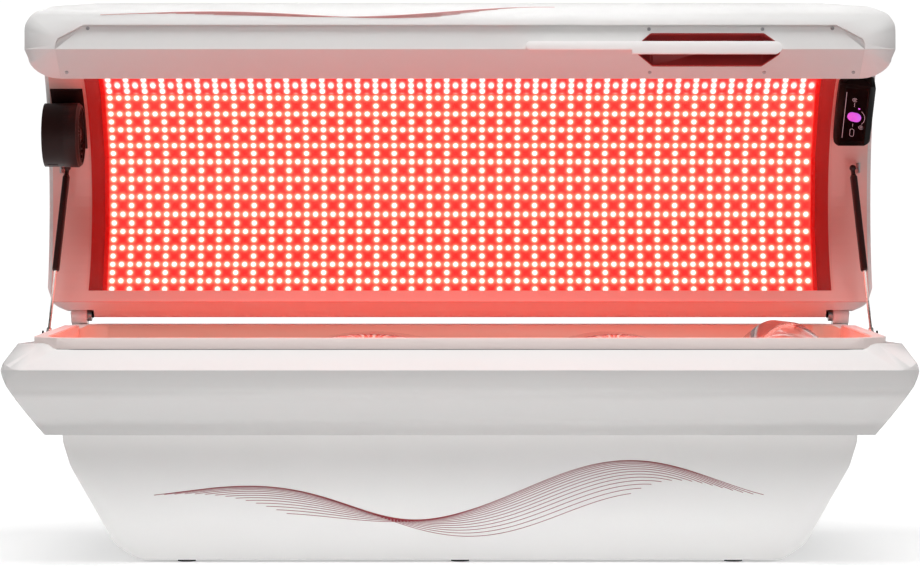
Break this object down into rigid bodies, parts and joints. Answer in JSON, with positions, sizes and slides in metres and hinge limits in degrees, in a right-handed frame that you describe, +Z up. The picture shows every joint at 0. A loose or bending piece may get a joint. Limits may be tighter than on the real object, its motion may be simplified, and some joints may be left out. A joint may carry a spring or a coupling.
{
  "type": "red light therapy bed",
  "caption": "Lie-down light bed: hinged arched canopy lined with lamp boards over a lit tub with a clear lying surface, gas springs, grab handle, side fan and control panel.",
  "frame": {"origin": "centre of the footprint on the floor", "axes": "+X to the bed's right end (head, control panel), -Y to the open front, +Z up"},
  "size_m": [2.3, 1.018, 1.4544],
  "materials": {
    "white_shell": "satin white moulded shell",
    "base_white": "satin white powder coat",
    "deck_white": "gloss white acrylic over foam",
    "shell_grey": "satin light grey",
    "sheet_grey": "satin light grey bent sheet",
    "sill_white": "satin white",
    "handle_white": "satin white",
    "liner_white": "gloss white",
    "tray_white": "gloss white, lit red",
    "reflector_red": "gloss, lit red",
    "led_board": "white solder mask lit red",
    "clear_sheet": "clear cast acrylic",
    "pocket_red": "dark red",
    "frame_grey": "powder coat",
    "aluminium": "mill finish",
    "steel": "zinc plated",
    "dark_steel": "blackened",
    "chrome": "polished rod",
    "black_paint": "satin black",
    "black_plastic": "satin black",
    "black_gloss": "gloss black",
    "black_glass": "black touch glass",
    "button_violet": "backlit",
    "rubber": "moulded"
  },
  "bodies": {
    "base": {"base_cover": "base_white", "base_frame": "frame_grey", "levelling_feet": "rubber", "power_supplies": "aluminium", "driver_box": "aluminium", "mains_inlet": "black_plastic", "vent_grille": "black_plastic", "vent_fan_frame": "black_plastic", "lower_shell": "shell_grey", "tub_ribs": "aluminium", "deck": "deck_white", "sill_trim": "sill_white", "tub_tray": "tray_white", "tub_board_1": "led_board", "tub_board_2": "led_board", "tub_board_3": "led_board", "bed_sheet": "clear_sheet", "hinge_arms": "base_white", "hinge_pins": "dark_steel", "lower_ball_brackets": "steel"},
    "canopy": {"canopy_shell": "white_shell", "fascia": "sheet_grey", "fascia_screws": "steel", "handle": "handle_white", "hand_pocket": "pocket_red", "liner": "liner_white", "light_tray": "reflector_red", "light_board_1": "led_board", "light_board_2": "led_board", "light_board_3": "led_board", "light_board_4": "led_board", "end_reflectors": "reflector_red", "canopy_sheet": "clear_sheet", "canopy_ribs": "aluminium", "canopy_drivers": "aluminium", "hinge_beam": "steel", "knuckles": "steel", "upper_ball_brackets": "steel", "fan_bracket": "black_paint", "fan_drum": "black_plastic", "fan_grille": "black_plastic", "fan_motor": "dark_steel", "panel_housing": "black_gloss", "panel_glass": "black_glass"},
    "fan_impeller": {"fan_impeller": "black_plastic"},
    "vent_impeller": {"vent_fan_impeller": "black_plastic"},
    "button": {"panel_button": "button_violet"},
    "rod_left": {"gas_rod_left": "chrome"},
    "rod_right": {"gas_rod_right": "chrome"},
    "cylinder_left": {"gas_cylinder_left": "black_paint"},
    "cylinder_right": {"gas_cylinder_right": "black_paint"}
  },
  "joints": [
    {"name": "canopy_hinge", "type": "hinge", "parent": "base", "child": "canopy", "pos_m": [0, 0.341, 0.6246], "axis": [1, 0, 0], "range_deg": [0, 66]},
    {"name": "gas_rod_left_tilt", "type": "hinge", "parent": "base", "child": "rod_left", "pos_m": [-1.12, 0.206, 0.572], "axis": [0.9936, 0.064, -0.0934], "range_deg": [0, 64]},
    {"name": "gas_cylinder_left_slide", "type": "slide", "parent": "rod_left", "child": "cylinder_left", "axis": [0.0736, 0.2627, 0.9621], "range_m": [-0.157, 0]},
    {"name": "gas_rod_right_tilt", "type": "hinge", "parent": "base", "child": "rod_right", "pos_m": [1.12, 0.206, 0.572], "axis": [0.9936, -0.064, 0.0934], "range_deg": [0, 64]},
    {"name": "gas_cylinder_right_slide", "type": "slide", "parent": "rod_right", "child": "cylinder_right", "axis": [-0.0736, 0.2627, 0.9621], "range_m": [-0.157, 0]},
    {"name": "side_fan_spin", "type": "hinge", "parent": "canopy", "child": "fan_impeller", "pos_m": [-1.08, 0.2325, 1.11593], "axis": [1, 0, 0], "continuous": true},
    {"name": "vent_fan_spin", "type": "hinge", "parent": "base", "child": "vent_impeller", "pos_m": [0.42, 0.33, 0.19], "axis": [0, 1, 0], "continuous": true},
    {"name": "power_button_press", "type": "slide", "parent": "canopy", "child": "button", "axis": [0.3162, 0.705, 0.6348], "range_m": [0, 0.0015], "stiffness_N_per_m": 400, "springref_m": -0.001}
  ],
  "couplings": [
    {"joint": "gas_rod_left_tilt", "follows": "canopy_hinge", "ratio": 0.96906},
    {"joint": "gas_cylinder_left_slide", "follows": "canopy_hinge", "m_per_rad": -0.13606},
    {"joint": "gas_rod_right_tilt", "follows": "canopy_hinge", "ratio": 0.96906},
    {"joint": "gas_cylinder_right_slide", "follows": "canopy_hinge", "m_per_rad": -0.13606}
  ]
}
